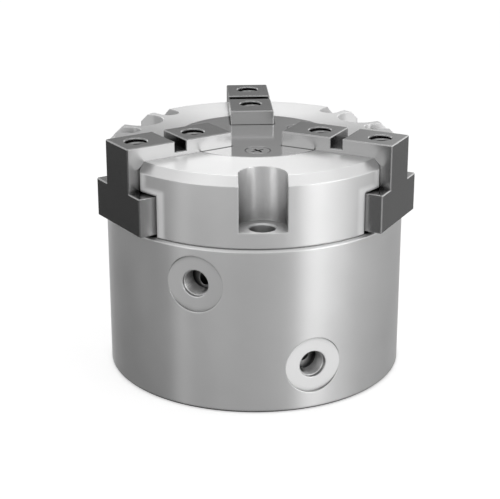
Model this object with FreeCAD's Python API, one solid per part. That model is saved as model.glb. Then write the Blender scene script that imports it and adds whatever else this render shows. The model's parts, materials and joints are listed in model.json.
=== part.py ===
import FreeCAD, Part
import math
import os

# Three jaw centric gripper, pneumatic, with a wedge core that drives all jaws together.
# Millimetres, +Z up, origin at the centre of the base face. The back jaw points along +Y.
# The model stands with its piston at the bottom of its stroke and the jaws closed.

V = FreeCAD.Vector
UP = V(0, 0, 1)

# Where the jaws stand, and where the three sectors between them lie, in degrees from +X
jaw_angles = {"back": 90, "left": 210, "right": 330}
sector_angles = [30, 150, 270]
rear_sectors = [30, 150]

# Cylinder housing, the lower body
housing_radius = 55.0
housing_height = 61.2
housing_bottom_chamfer = 0.8
housing_top_chamfer = 0.9

# Guide body, the upper body
guide_radius = 54.5
guide_height = 25.3
guide_top_chamfer = 3.1
guide_bottom_chamfer = 0.5
slot_mouth_round = 1.8
core_opening_radius = 15.5
register_radius = 43.0
register_depth = 4.0
register_gap = 0.03
register_floor_gap = 0.1

# Jaws, measured along each jaw's own centre line
jaw_inner = 15.0
jaw_outer = 57.5
jaw_neck_width = 16.2
jaw_flange_width = 31.3
jaw_flange_height = 14.0
jaw_rise = 5.3
jaw_under_gap = 0.6
jaw_edge_chamfer = 0.4
jaw_hook_top_gap = 0.7
groove_start = 34.0
groove_width = 4.5
groove_depth = 3.8
jaw_hole_radii = [26.45, 49.7]
jaw_thread_radius = 4.0
jaw_thread_depth = 11.0
jaw_hole_sink = 0.35
slide_clearance = 0.05

# Drive: how far the piston travels, and how far the jaws move for each millimetre of it
stroke = 10.0
wedge_ratio = 0.6

# Wedge core and the jaws' hooked tongues
core_bottom_gap = 1.0
core_top_gap = 0.5
core_hub_radius = 13.0
core_arm_width = 15.6
core_face_at_guide = 21.5
tongue_neck_width = 5.5
tongue_neck_depth = 2.5
tongue_head_width = 10.0
tongue_head_depth = 3.0
tongue_top_drop = 3.0
tongue_bottom_rise = 0.2

# Piston, rod and the screw that holds them to the wedge core
bore_radius = 38.0
piston_thickness = 10.0
piston_gap = 0.3
piston_chamfer = 1.5
stop_gap = 0.3
end_gap = 0.3
rod_radius = 10.0
rod_spigot_radius = 6.0
rod_spigot_length = 3.0
rod_core_depth = 3.0
screw_radius = 4.0
screw_clearance = 0.3
screw_head_radius = 6.5
screw_head_height = 8.0
screw_head_sink = 4.0
screw_head_room = 0.8
screw_socket_radius = 3.5
screw_socket_depth = 4.0
screw_thread_in_core = 12.0
ring_clearance = 0.02
piston_seal_width = 3.5
piston_seal_depth = 3.2
guide_ring_width = 3.0
guide_ring_depth = 2.2
piston_ring_edge = 1.4
piston_ring_web = 1.2
rod_ring_thickness = 0.9
rod_ring_centre = 8.0

# Wall between the piston chamber and the pocket of the wedge core
wall_thickness = 11.7
wall_lip = 1.5
rod_seal_width = 3.6
rod_seal_depth = 3.0
rod_seal_web = 1.0
bush_wall = 2.0
bush_clearance = 0.03
rod_passage_gap = 0.3
core_pocket_margin = 0.5

# Base cover, its seal and the ring that retains it
cover_step = 1.0
base_cover_bottom = 4.05
base_cover_flange = 8.9
base_cover_spigot = 1.05
base_cover_gap = 0.05
boss_radius = 20.0
lower_chamber = 4.7
ring_thickness = 2.5
ring_groove_depth = 1.5
ring_axial_play = 0.05
ring_width = 3.8
ring_gap_width = 13.0
ring_lug_radius = 4.0
ring_lug_hole = 1.25
cover_ring_thickness = 1.2

# Centre cover over the mechanism and its countersunk screws
centre_cover_radius = 28.95
centre_cover_thickness = 5.0
centre_cover_gap = 0.35
centre_cover_chamfer = 0.3
centre_cover_slot_gap = 0.25
cover_screw_circle = 20.0
cover_screw_radius = 2.5
cover_screw_head_radius = 4.65
cover_screw_length = 14.0
cover_screw_sink = 0.2
cover_recess_width = 1.2
cover_recess_length = 5.2
cover_recess_depth = 1.9

# Main screw holes: open notches in the guide body, through holes down to the base
main_circle = 48.4
main_hole_radius = 4.5
main_hole_chamfer = 0.5
main_notch_radius = 8.4
main_notch_floor = 5.9

# Screws that hold the guide body to the cylinder housing, in small notches of the rear sectors
fixing_circle = 47.0
fixing_offset = 18.0
fixing_notch_radius = 4.0
fixing_notch_floor = 10.8
fixing_screw_radius = 2.0
fixing_screw_length = 20.0
fixing_head_radius = 3.5
fixing_head_height = 4.0
fixing_socket_radius = 1.7
fixing_socket_depth = 2.0

# Dowel pins between the two bodies, and locating holes in the base
dowel_circle = 36.0
dowel_angles = [270, 150]
dowel_radius = 2.5
dowel_length = 10.0
dowel_chamfer = 0.4
base_dowel_circle = 47.0
base_dowel_angles = [0, 180]
base_dowel_radius = 3.0
base_dowel_depth = 8.0

# Air ports
upper_port_angle = 244.5
upper_port_height = 47.2
lower_port_angle = 289.2
lower_port_height = 16.8
port_face_radius = 10.35
port_face_depth = 1.0
port_thread_radius = 4.86
port_thread_depth = 8.5
port_chamfer = 0.4
port_passage_radius = 2.0
upper_passage_inset = 2.5

# Heights that follow from the sizes above
guide_top = housing_height + guide_height
cover_seat = guide_top - centre_cover_thickness
jaw_bottom = housing_height + jaw_under_gap
flange_top = jaw_bottom + jaw_flange_height
jaw_top = guide_top + jaw_rise
hook_top = cover_seat - jaw_hook_top_gap
piston_bottom = base_cover_bottom + base_cover_flange + base_cover_spigot + lower_chamber + stop_gap
piston_top = piston_bottom + piston_thickness
chamber_top = piston_top + stroke + end_gap
pocket_floor = chamber_top + wall_thickness
core_bottom = pocket_floor + core_bottom_gap
core_top = cover_seat - core_top_gap - stroke
rod_top = core_bottom + rod_core_depth
screw_head_seat = piston_bottom + screw_head_sink
screw_tip = rod_top + screw_thread_in_core
seal_bottom = chamber_top + wall_lip
bush_bottom = seal_bottom + rod_seal_width + rod_seal_web
counterbore_radius = bore_radius + cover_step
reach = 2 * housing_radius


def faceAt(z):
    """Distance from the axis to the wedge core's inclined face, jaws closed, at height z."""
    return core_face_at_guide - wedge_ratio * (z - housing_height)


def drum(radius, bottom, top, x=0.0, y=0.0):
    return Part.makeCylinder(radius, top - bottom, V(x, y, bottom), UP)


def ring(inner, outer, bottom, top):
    return drum(outer, bottom, top).cut(drum(inner, bottom, top))


def cone(bottom_radius, top_radius, bottom, top, x=0.0, y=0.0):
    return Part.makeCone(bottom_radius, top_radius, top - bottom, V(x, y, bottom), UP)


def slab(inner, outer, width, bottom, top):
    """A bar along +X, centred on it, from one distance to another."""
    return Part.makeBox(outer - inner, width, top - bottom, V(inner, -width / 2, bottom))


def turned(points):
    """A solid of revolution about Z from points given as (radius, height)."""
    wire = Part.makePolygon([V(r, 0, z) for r, z in points + points[:1]])
    return Part.Face(wire).revolve(V(0, 0, 0), UP, 360)


def at(shape, angle):
    """The shape, drawn along +X, turned to its angle about the axis."""
    turned_shape = shape.copy()
    turned_shape.rotate(V(0, 0, 0), UP, angle)
    return turned_shape


def place(radius, angle):
    a = math.radians(angle)
    return radius * math.cos(a), radius * math.sin(a)


def joined(shapes):
    shapes = list(shapes)
    return shapes[0].multiFuse(shapes[1:]).removeSplitter() if len(shapes) > 1 else shapes[0]


def cutAll(body, tools):
    return body.cut(list(tools)).removeSplitter()


def fixingAngles():
    return [sector + side * fixing_offset for sector in rear_sectors for side in (-1, 1)]


# Guide body
def jawSlot():
    neck = jaw_neck_width + 2 * slide_clearance
    flange = jaw_flange_width + 2 * slide_clearance
    upper = slab(0, reach, neck, housing_height, guide_top + 1)
    lower = slab(0, reach, flange, housing_height, flange_top + slide_clearance)
    return upper.fuse(lower)


def slotMouthEdges(body):
    """The edges where the jaw slots break out of the round outside, below its top chamfer."""
    found = []
    for edge in body.Edges:
        points = [edge.valueAt(t) for t in (edge.FirstParameter, edge.LastParameter)]
        middle = edge.valueAt((edge.FirstParameter + edge.LastParameter) / 2)
        outside = all(abs(math.hypot(p.x, p.y) - guide_radius) < 0.01 for p in points + [middle])
        low = min(p.z for p in points) > housing_height + guide_bottom_chamfer - 0.01
        high = max(p.z for p in points) < guide_top - guide_top_chamfer + 0.01
        level = abs(points[0].z - points[1].z) < 0.01
        at_rim = level and abs(points[0].z - flange_top - slide_clearance) > 0.01
        if outside and low and high and not at_rim:
            found.append(edge)
    return found


def guideBody():
    body = turned([
        (0, housing_height),
        (guide_radius - guide_bottom_chamfer, housing_height),
        (guide_radius, housing_height + guide_bottom_chamfer),
        (guide_radius, guide_top - guide_top_chamfer),
        (guide_radius - guide_top_chamfer, guide_top),
        (0, guide_top),
    ])
    body = cutAll(body, [at(jawSlot(), angle) for angle in jaw_angles.values()])
    body = body.makeFillet(slot_mouth_round, slotMouthEdges(body))
    register_bottom = housing_height - register_depth
    body = body.fuse(ring(corePocketRadius(), register_radius, register_bottom, housing_height))
    cuts = [
        drum(core_opening_radius, housing_height, cover_seat),
        drum(centre_cover_radius + centre_cover_gap, cover_seat, guide_top + 1),
    ]
    floor = housing_height + main_notch_floor
    for angle in sector_angles:
        notch = drum(main_notch_radius, floor, guide_top + 1, main_circle)
        notch = notch.fuse(slab(main_circle, reach, 2 * main_notch_radius, floor, guide_top + 1))
        hole = drum(main_hole_radius, housing_height, floor + 1, main_circle)
        sink = cone(main_hole_radius, main_hole_radius + main_hole_chamfer,
                    floor - main_hole_chamfer, floor, main_circle)
        thread = drum(cover_screw_radius, guide_top - cover_screw_length - 1, guide_top, cover_screw_circle)
        cuts += [at(cut, angle) for cut in (notch, hole, sink, thread)]
    floor = housing_height + fixing_notch_floor
    for angle in fixingAngles():
        notch = drum(fixing_notch_radius, floor, guide_top + 1, fixing_circle)
        notch = notch.fuse(slab(fixing_circle, reach, 2 * fixing_notch_radius, floor, guide_top + 1))
        hole = drum(fixing_screw_radius, housing_height, floor + 1, fixing_circle)
        cuts += [at(cut, angle) for cut in (notch, hole)]
    cuts += [dowel(angle, register_bottom - 1, 0) for angle in dowel_angles]
    return cutAll(body, cuts)


# Dowel pins
def dowel(angle, start, chamfer):
    """A dowel pin, or its hole where the chamfer is 0, from a height up to the pins' top."""
    top = housing_height + dowel_length / 2
    if not chamfer:
        return at(drum(dowel_radius, start, top, dowel_circle), angle)
    tip = dowel_radius - chamfer
    pin = drum(dowel_radius, start + chamfer, top - chamfer, dowel_circle)
    pin = pin.fuse([
        cone(tip, dowel_radius, start, start + chamfer, dowel_circle),
        cone(dowel_radius, tip, top - chamfer, top, dowel_circle),
    ])
    return at(pin, angle)


def dowelPins():
    bottom = housing_height - dowel_length / 2
    return Part.makeCompound([dowel(angle, bottom, dowel_chamfer) for angle in dowel_angles])


# Cylinder housing
def portAlongX(height):
    """Spot face and threaded hole of one air port, drawn along +X at its height."""
    face = housing_radius - port_face_depth
    along = V(1, 0, 0)
    spot = Part.makeCylinder(port_face_radius, reach, V(face, 0, height), along)
    thread = Part.makeCylinder(port_thread_radius, reach, V(face - port_thread_depth, 0, height), along)
    mouth = Part.makeCone(port_thread_radius, port_thread_radius + port_chamfer, port_chamfer,
                          V(face - port_chamfer, 0, height), along)
    return spot.fuse([thread, mouth])


def lowerPassage():
    start = bore_radius - 1
    end = housing_radius - port_face_depth - port_thread_depth + 1
    return Part.makeCylinder(port_passage_radius, end - start, V(start, 0, lower_port_height), V(1, 0, 0))


def upperPassage():
    """A slanting hole from the bottom of the upper port down to the top corner of the chamber."""
    start = V(housing_radius - port_face_depth - port_thread_depth + 1, 0, upper_port_height)
    end = V(bore_radius - upper_passage_inset, 0, chamber_top - 1)
    return Part.makeCylinder(port_passage_radius, start.distanceToPoint(end), start, end - start)


def corePocketRadius():
    return math.hypot(faceAt(core_bottom), core_arm_width / 2) + core_pocket_margin


def cylinderHousing():
    body = turned([
        (0, 0),
        (housing_radius - housing_bottom_chamfer, 0),
        (housing_radius, housing_bottom_chamfer),
        (housing_radius, housing_height - housing_top_chamfer),
        (housing_radius - housing_top_chamfer, housing_height),
        (0, housing_height),
    ])
    step = base_cover_bottom + base_cover_flange
    ring_bottom = base_cover_bottom - ring_thickness - ring_axial_play
    cuts = [
        drum(counterbore_radius, -1, step + base_cover_gap),
        drum(bore_radius, 0, chamber_top),
        drum(counterbore_radius + ring_groove_depth, ring_bottom - ring_axial_play, base_cover_bottom),
        drum(rod_radius + rod_passage_gap, chamber_top - 1, pocket_floor + 1),
        drum(rod_radius + rod_seal_depth, seal_bottom, seal_bottom + rod_seal_width),
        drum(rod_radius + bush_wall, bush_bottom, pocket_floor + 1),
        drum(corePocketRadius(), pocket_floor, housing_height + 1),
        drum(register_radius + register_gap, housing_height - register_depth - register_floor_gap, reach),
        at(portAlongX(upper_port_height), upper_port_angle),
        at(upperPassage(), upper_port_angle),
        at(portAlongX(lower_port_height), lower_port_angle),
        at(lowerPassage(), lower_port_angle),
    ]
    main_hole = drum(main_hole_radius, -1, housing_height + 1, main_circle)
    tip = housing_height + fixing_notch_floor - fixing_screw_length - 1
    fixing_hole = drum(fixing_screw_radius, tip, housing_height + 1, fixing_circle)
    base_hole = drum(base_dowel_radius, -1, base_dowel_depth, base_dowel_circle)
    cuts += [at(main_hole, angle) for angle in sector_angles]
    cuts += [at(fixing_hole, angle) for angle in fixingAngles()]
    cuts += [at(base_hole, angle) for angle in base_dowel_angles]
    cuts += [dowel(angle, housing_height - dowel_length / 2, 0) for angle in dowel_angles]
    return cutAll(body, cuts)


# Base cover with its seal and retaining ring
def baseCoverRing():
    return counterbore_radius - cover_ring_thickness


def baseCoverRingHeight():
    return base_cover_bottom + base_cover_flange / 2


def baseCover():
    step = base_cover_bottom + base_cover_flange
    floor = step + base_cover_spigot
    top = piston_bottom - stop_gap
    body = drum(counterbore_radius - base_cover_gap, base_cover_bottom, step)
    body = body.fuse([drum(bore_radius - base_cover_gap, step, floor), drum(boss_radius, floor, top)])
    head_room = piston_bottom + screw_head_sink - screw_head_height - screw_head_room
    half = cover_ring_thickness
    groove = ring(baseCoverRing() - half, reach, baseCoverRingHeight() - half, baseCoverRingHeight() + half)
    return cutAll(body, [drum(screw_head_radius + screw_head_room, head_room, top + 1), groove])


def sealRing(major, minor, height):
    """An O-ring, with eight flats round its section."""
    corner = minor / math.cos(math.pi / 8)
    angles = [math.radians(45 * i + 22.5) for i in range(8)]
    return turned([(major + corner * math.cos(a), height + corner * math.sin(a)) for a in angles])


def baseCoverSeal():
    return sealRing(baseCoverRing(), cover_ring_thickness, baseCoverRingHeight())


def retainingRing():
    outer = counterbore_radius + ring_groove_depth - ring_axial_play
    inner = outer - ring_width
    bottom = base_cover_bottom - ring_thickness - ring_axial_play
    top = bottom + ring_thickness
    gap = slab(0, reach, ring_gap_width, bottom - 1, top + 1)
    body = ring(inner, outer, bottom, top).cut(at(gap, 90))
    lugs = []
    eyes = []
    for side in (-1, 1):
        turn = 90 + side * math.degrees(math.asin((ring_gap_width / 2 + ring_lug_radius) / inner))
        x, y = place(inner, turn)
        lugs.append(drum(ring_lug_radius, bottom, top, x, y))
        eyes.append(drum(ring_lug_hole, bottom - 1, top + 1, x, y))
    body = body.fuse(lugs).common(drum(outer, bottom, top))
    return cutAll(body, eyes)


# Centre cover and its screws
def coverScrewHead():
    """The cone of a countersunk head, drawn at its place on +X, and how deep it goes."""
    top = guide_top - cover_screw_sink
    depth = cover_screw_head_radius - cover_screw_radius
    return cone(cover_screw_radius, cover_screw_head_radius, top - depth, top, cover_screw_circle)


def centreCover():
    body = turned([
        (0, cover_seat),
        (centre_cover_radius, cover_seat),
        (centre_cover_radius, guide_top - centre_cover_chamfer),
        (centre_cover_radius - centre_cover_chamfer, guide_top),
        (0, guide_top),
    ])
    width = jaw_neck_width + 2 * centre_cover_slot_gap
    slot = slab(jaw_inner - centre_cover_slot_gap, reach, width, cover_seat - 1, guide_top + 1)
    cuts = [at(slot, angle) for angle in jaw_angles.values()]
    sink = cover_screw_head_radius
    mouth = drum(sink, guide_top - cover_screw_sink, guide_top + 1, cover_screw_circle)
    shank = drum(cover_screw_radius, cover_seat - 1, guide_top, cover_screw_circle)
    for angle in sector_angles:
        cuts += [at(cut, angle) for cut in (coverScrewHead(), mouth, shank)]
    return cutAll(body, cuts)


def coverScrew():
    top = guide_top - cover_screw_sink
    shank = drum(cover_screw_radius, guide_top - cover_screw_length, top - 0.5, cover_screw_circle)
    body = coverScrewHead().fuse(shank)
    half = cover_recess_length / 2
    bottom = top - cover_recess_depth
    bar = Part.makeBox(2 * half, cover_recess_width, cover_recess_depth + 1,
                       V(cover_screw_circle - half, -cover_recess_width / 2, bottom))
    cross = bar.copy()
    cross.rotate(V(cover_screw_circle, 0, 0), UP, 90)
    return cutAll(body, [bar, cross])


def coverScrews():
    return Part.makeCompound([at(coverScrew(), angle) for angle in sector_angles])


# Screws between the two bodies
def socketHead(radius, height, socket_radius, socket_depth, seat, circle):
    """A cap screw's head on its seat, with a hexagon socket from above."""
    top = seat + height
    head = drum(radius, seat, top, circle)
    corners = [place(socket_radius, 60 * i) for i in range(7)]
    hexagon = Part.Face(Part.makePolygon([V(circle + x, y, top - socket_depth) for x, y in corners]))
    return head.cut(hexagon.extrude(V(0, 0, socket_depth + 1)))


def fixingScrew():
    seat = housing_height + fixing_notch_floor
    head = socketHead(fixing_head_radius, fixing_head_height, fixing_socket_radius,
                      fixing_socket_depth, seat, fixing_circle)
    return head.fuse(drum(fixing_screw_radius, seat - fixing_screw_length, seat, fixing_circle))


def housingScrews():
    return Part.makeCompound([at(fixingScrew(), angle) for angle in fixingAngles()])


# Rod bush and rod seal in the housing's wall
def rodBush():
    return ring(rod_radius + bush_clearance, rod_radius + bush_wall, bush_bottom, pocket_floor)


def rodSeal():
    inner = rod_radius + ring_clearance
    outer = rod_radius + rod_seal_depth
    top = seal_bottom + rod_seal_width
    middle = (inner + outer) / 2
    lip = rod_seal_depth / 6
    return turned([
        (inner, seal_bottom),
        (middle - lip, seal_bottom),
        (middle, seal_bottom + rod_seal_width / 2),
        (middle + lip, seal_bottom),
        (outer, seal_bottom),
        (outer, top),
        (inner + lip, top),
        (inner + lip, seal_bottom + rod_seal_width / 3),
        (inner, seal_bottom + rod_seal_width / 4),
    ])


# Piston with its rings
def guideRingBottom():
    return piston_bottom + piston_ring_edge


def pistonSealBottom():
    return guideRingBottom() + guide_ring_width + piston_ring_web


def piston():
    radius = bore_radius - piston_gap
    body = turned([
        (0, piston_bottom),
        (radius - piston_chamfer / 2, piston_bottom),
        (radius, piston_bottom + piston_chamfer / 2),
        (radius, piston_top - piston_chamfer),
        (radius - piston_chamfer, piston_top),
        (0, piston_top),
    ])
    guide_bottom = guideRingBottom()
    seal = pistonSealBottom()
    half = rod_ring_thickness
    return cutAll(body, [
        ring(bore_radius - guide_ring_depth, reach, guide_bottom, guide_bottom + guide_ring_width),
        ring(bore_radius - piston_seal_depth, reach, seal, seal + piston_seal_width),
        drum(screw_head_radius + screw_clearance, piston_bottom - 1, screw_head_seat),
        drum(screw_radius + screw_clearance, screw_head_seat - 1, piston_top + 1),
        drum(rod_spigot_radius, piston_top - rod_spigot_length, piston_top + 1),
        ring(rod_ring_centre - half, rod_ring_centre + half, piston_top - 2 * half, piston_top + 1),
    ])


def pistonGuideRing():
    bottom = guideRingBottom()
    top = bottom + guide_ring_width
    return ring(bore_radius - guide_ring_depth, bore_radius - ring_clearance, bottom, top)


def pistonSeal():
    outer = bore_radius - ring_clearance
    inner = bore_radius - piston_seal_depth
    bottom = pistonSealBottom()
    top = bottom + piston_seal_width
    lip = piston_seal_width / 4
    waist = (inner + outer) / 2
    return turned([
        (inner, bottom),
        (outer - lip, bottom),
        (outer, bottom + lip / 2),
        (outer, bottom + lip),
        (waist, (bottom + top) / 2),
        (outer, top - lip),
        (outer, top - lip / 2),
        (outer - lip, top),
        (inner, top),
    ])


def pistonRod():
    body = drum(rod_radius, piston_top, rod_top)
    body = body.fuse(drum(rod_spigot_radius, piston_top - rod_spigot_length, piston_top))
    bore = drum(screw_radius + screw_clearance, piston_top - rod_spigot_length - 1, rod_top + 1)
    return cutAll(body, [bore])


def pistonRodSeal():
    return sealRing(rod_ring_centre, rod_ring_thickness, piston_top - rod_ring_thickness)


def pistonScrew():
    bottom = screw_head_seat - screw_head_height
    head = drum(screw_head_radius, bottom, screw_head_seat)
    corners = [place(screw_socket_radius, 60 * i) for i in range(7)]
    hexagon = Part.Face(Part.makePolygon([V(x, y, bottom - 1) for x, y in corners]))
    head = head.cut(hexagon.extrude(V(0, 0, screw_socket_depth + 1)))
    return head.fuse(drum(screw_radius, screw_head_seat, screw_tip))


# Wedge core and jaws: inclined T slots in the core, inclined tongues on the jaws
def inclinedBar(width, near, far, bottom, top):
    """A bar beside the core's inclined face, of a width across it, between two depths below it."""
    def point(depth, z):
        slant = math.hypot(1, wedge_ratio)
        return V(faceAt(z) - depth * slant, -width / 2, z)
    corners = [point(near, bottom), point(far, bottom), point(far, top), point(near, top)]
    return Part.Face(Part.makePolygon(corners + corners[:1])).extrude(V(0, width, 0))


def wedgeCore():
    top = core_top
    body = drum(core_hub_radius, core_bottom, top)
    arm = slab(0, faceAt(core_bottom) + 1, core_arm_width, core_bottom, top)
    body = body.fuse([at(arm, angle) for angle in jaw_angles.values()])
    low = core_bottom - 1
    high = top + 1
    outside = inclinedBar(2 * reach, 0, -reach, low, high)
    neck = inclinedBar(tongue_neck_width + 2 * slide_clearance, -1,
                       tongue_neck_depth + 2 * slide_clearance, low, high)
    head = inclinedBar(tongue_head_width + 2 * slide_clearance, tongue_neck_depth,
                       tongue_neck_depth + tongue_head_depth + 2 * slide_clearance, low, high)
    cuts = []
    for angle in jaw_angles.values():
        cuts += [at(cut, angle) for cut in (outside, neck, head)]
    cuts += [
        drum(rod_radius, low, rod_top),
        drum(screw_radius, low, screw_tip + 1),
    ]
    return cutAll(body, cuts)


def jawSide():
    """The jaw's outline seen from its side: hook and step inside, cross groove above."""
    low = jaw_bottom
    gap = slide_clearance * math.hypot(1, wedge_ratio)
    points = [
        (faceAt(low) + gap, low),
        (jaw_outer, low),
        (jaw_outer, jaw_top),
        (groove_start + groove_width, jaw_top),
        (groove_start + groove_width, jaw_top - groove_depth),
        (groove_start, jaw_top - groove_depth),
        (groove_start, jaw_top),
        (jaw_inner, jaw_top),
        (jaw_inner, hook_top),
        (faceAt(hook_top) + gap, hook_top),
    ]
    wire = Part.makePolygon([V(x, -reach, z) for x, z in points + points[:1]])
    return Part.Face(wire).extrude(V(0, 2 * reach, 0))


def jawSection():
    """The jaw's T outline seen from its end, with small chamfers along its length."""
    c = jaw_edge_chamfer
    neck = jaw_neck_width / 2
    flange = jaw_flange_width / 2
    half = [
        (flange - c, jaw_bottom),
        (flange, jaw_bottom + c),
        (flange, flange_top - c),
        (flange - c, flange_top),
        (neck, flange_top),
        (neck, jaw_top - c),
        (neck - c, jaw_top),
    ]
    mirror = [(-y, z) for y, z in reversed(half)]
    outline = half + mirror
    wire = Part.makePolygon([V(0, y, z) for y, z in outline + outline[:1]])
    return Part.Face(wire).extrude(V(reach, 0, 0))


def jawHoles():
    cuts = []
    sink = jaw_hole_sink
    for radius in jaw_hole_radii:
        cuts.append(drum(jaw_thread_radius, jaw_top - jaw_thread_depth, jaw_top + 1, radius))
        cuts.append(cone(jaw_thread_radius, jaw_thread_radius + sink, jaw_top - sink, jaw_top, radius))
    return cuts


def jawEndEdges(jaw):
    """The edges round the jaw's flat outer end face."""
    for face in jaw.Faces:
        if abs(face.CenterOfMass.x - jaw_outer) < 0.001:
            return face.Edges
    return []


def jaw(angle):
    body = jawSection().common(jawSide())
    body = body.makeChamfer(jaw_edge_chamfer, jawEndEdges(body))
    low = jaw_bottom + tongue_bottom_rise
    high = hook_top - tongue_top_drop
    neck = inclinedBar(tongue_neck_width, -1, tongue_neck_depth + slide_clearance, low, high)
    head = inclinedBar(tongue_head_width, tongue_neck_depth + slide_clearance,
                       tongue_neck_depth + tongue_head_depth + slide_clearance, low, high)
    body = joined([body, neck, head])
    return at(cutAll(body, jawHoles()), angle)


parts = {
    "guide_body": guideBody,
    "cylinder_housing": cylinderHousing,
    "base_cover": baseCover,
    "base_cover_seal": baseCoverSeal,
    "retaining_ring": retainingRing,
    "centre_cover": centreCover,
    "cover_screws": coverScrews,
    "housing_screws": housingScrews,
    "dowel_pins": dowelPins,
    "rod_bush": rodBush,
    "rod_seal": rodSeal,
    "piston": piston,
    "piston_guide_ring": pistonGuideRing,
    "piston_seal": pistonSeal,
    "piston_rod": pistonRod,
    "piston_rod_seal": pistonRodSeal,
    "piston_screw": pistonScrew,
    "wedge_core": wedgeCore,
}

os.makedirs("parts", exist_ok=True)
for name, build in parts.items():
    build().exportStep("parts/" + name + ".step")
for side, angle in jaw_angles.items():
    jaw(angle).exportStep("parts/jaw_" + side + ".step")
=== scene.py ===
import json
import math
import bmesh
import bpy
from mathutils import Matrix, Vector

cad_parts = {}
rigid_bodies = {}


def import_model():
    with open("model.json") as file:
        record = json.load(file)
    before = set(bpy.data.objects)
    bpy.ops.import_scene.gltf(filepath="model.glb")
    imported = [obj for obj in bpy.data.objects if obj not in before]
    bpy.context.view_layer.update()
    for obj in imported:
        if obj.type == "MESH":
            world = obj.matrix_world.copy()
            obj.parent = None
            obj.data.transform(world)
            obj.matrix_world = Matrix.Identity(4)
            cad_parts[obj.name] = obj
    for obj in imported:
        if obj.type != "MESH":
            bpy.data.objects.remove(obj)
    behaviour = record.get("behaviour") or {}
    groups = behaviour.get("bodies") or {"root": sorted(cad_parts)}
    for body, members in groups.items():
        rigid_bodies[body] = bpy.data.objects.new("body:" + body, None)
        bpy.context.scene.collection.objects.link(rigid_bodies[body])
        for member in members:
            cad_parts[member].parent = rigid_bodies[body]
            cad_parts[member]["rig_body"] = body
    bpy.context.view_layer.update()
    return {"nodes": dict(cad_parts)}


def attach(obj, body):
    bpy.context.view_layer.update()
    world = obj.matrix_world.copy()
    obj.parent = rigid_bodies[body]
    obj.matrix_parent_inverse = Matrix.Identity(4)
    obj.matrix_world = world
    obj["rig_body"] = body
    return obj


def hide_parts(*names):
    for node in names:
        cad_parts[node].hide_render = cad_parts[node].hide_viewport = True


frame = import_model()
print("frame loaded")

# Sizes are in millimetres, as on a drawing, and become metres when a mesh is made.
mm = 0.001

# A cutting tool goes on by past, or out to far, where it leaves a piece.
past = 1.0
far = 80.0

# How near an edge has to be to a level, a wall or a rim to count as lying on it
sameLevel = 0.01
close = 0.05
beside = 0.1
jawAngles = {"back": 90, "left": 210, "right": 330}
sectorAngles = [30, 150, 270]
fixingAngles = [12, 48, 132, 168]
sharpAngle = math.radians(20)
flatAngle = math.radians(0.3)
cornerRoom = 1.35

# Corners of a mesh merge when they are this near, in metres
sameSpot = 1e-6

# Steps of a full turn, by the kind of round form
steps = {"body": 288, "cover": 256, "face": 160, "port": 96, "hole": 72, "bolt": 64, "small": 48}
finish = {}


# Meshes
def meshObject(name, vertices, faces):
    mesh = bpy.data.meshes.new(name)
    mesh.from_pydata([[c * mm for c in v] for v in vertices], [], faces)
    obj = bpy.data.objects.new(name, mesh)
    bpy.context.scene.collection.objects.link(obj)
    bm = bmesh.new()
    bm.from_mesh(mesh)
    bmesh.ops.recalc_face_normals(bm, faces=bm.faces)
    bm.to_mesh(mesh)
    bm.free()
    return obj


def lathe(name, profile, count):
    # a closed outline of (radius, height) points, turned about Z in a count of steps
    vertices = []
    rows = []
    for r, z in profile:
        if r < sameSpot:
            rows.append([len(vertices)] * count)
            vertices.append((0, 0, z))
            continue
        rows.append([len(vertices) + i for i in range(count)])
        for i in range(count):
            a = 2 * math.pi * i / count
            vertices.append((r * math.cos(a), r * math.sin(a), z))
    faces = []
    for low, high in zip(rows, rows[1:] + rows[:1]):
        for i in range(count):
            j = (i + 1) % count
            corners = [low[i], low[j], high[j], high[i]]
            corners = [c for k, c in enumerate(corners) if c not in corners[:k]]
            if len(corners) > 2:
                faces.append(corners)
    return meshObject(name, vertices, faces)


def prism(name, outline, low, high, plane="xy"):
    # an outline pushed through from one level to another, across the plane that it is drawn in
    order = {"xy": (0, 1, 2), "xz": (0, 2, 1), "yz": (1, 2, 0)}[plane]
    vertices = []
    for level in (low, high):
        for a, b in outline:
            point = [0, 0, 0]
            point[order[0]], point[order[1]], point[order[2]] = a, b, level
            vertices.append(point)
    n = len(outline)
    faces = [list(range(n)), list(range(n, 2 * n))]
    faces += [[i, (i + 1) % n, n + (i + 1) % n, n + i] for i in range(n)]
    return meshObject(name, vertices, faces)


def drum(radius, low, high, count, x=0.0):
    obj = lathe("drum", [(0, low), (radius, low), (radius, high), (0, high)], count)
    obj.data.transform(Matrix.Translation((x * mm, 0, 0)))
    return obj


def ring(radius, angles, height):
    return [(radius * math.cos(math.radians(a)), radius * math.sin(math.radians(a)), height) for a in angles]


def turn(obj, angle):
    obj.data.transform(Matrix.Rotation(math.radians(angle), 4, "Z"))
    return obj


def layAlong(obj, angle, height):
    # an object drawn along Z is laid along a direction from the axis, at a height
    obj.data.transform(Matrix.Rotation(math.radians(90), 4, "Y"))
    obj.data.transform(Matrix.Translation((0, 0, height * mm)))
    return turn(obj, angle)


def evaluated(obj):
    graph = bpy.context.evaluated_depsgraph_get()
    mesh = bpy.data.meshes.new_from_object(obj.evaluated_get(graph), depsgraph=graph)
    obj.modifiers.clear()
    obj.data = mesh
    return obj


def carve(body, tools, operation="DIFFERENCE"):
    for tool in tools:
        modifier = body.modifiers.new("carve", "BOOLEAN")
        modifier.operation = operation
        modifier.solver = "EXACT"
        modifier.object = tool
        evaluated(body)
        bpy.data.objects.remove(tool)
    return body


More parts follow.
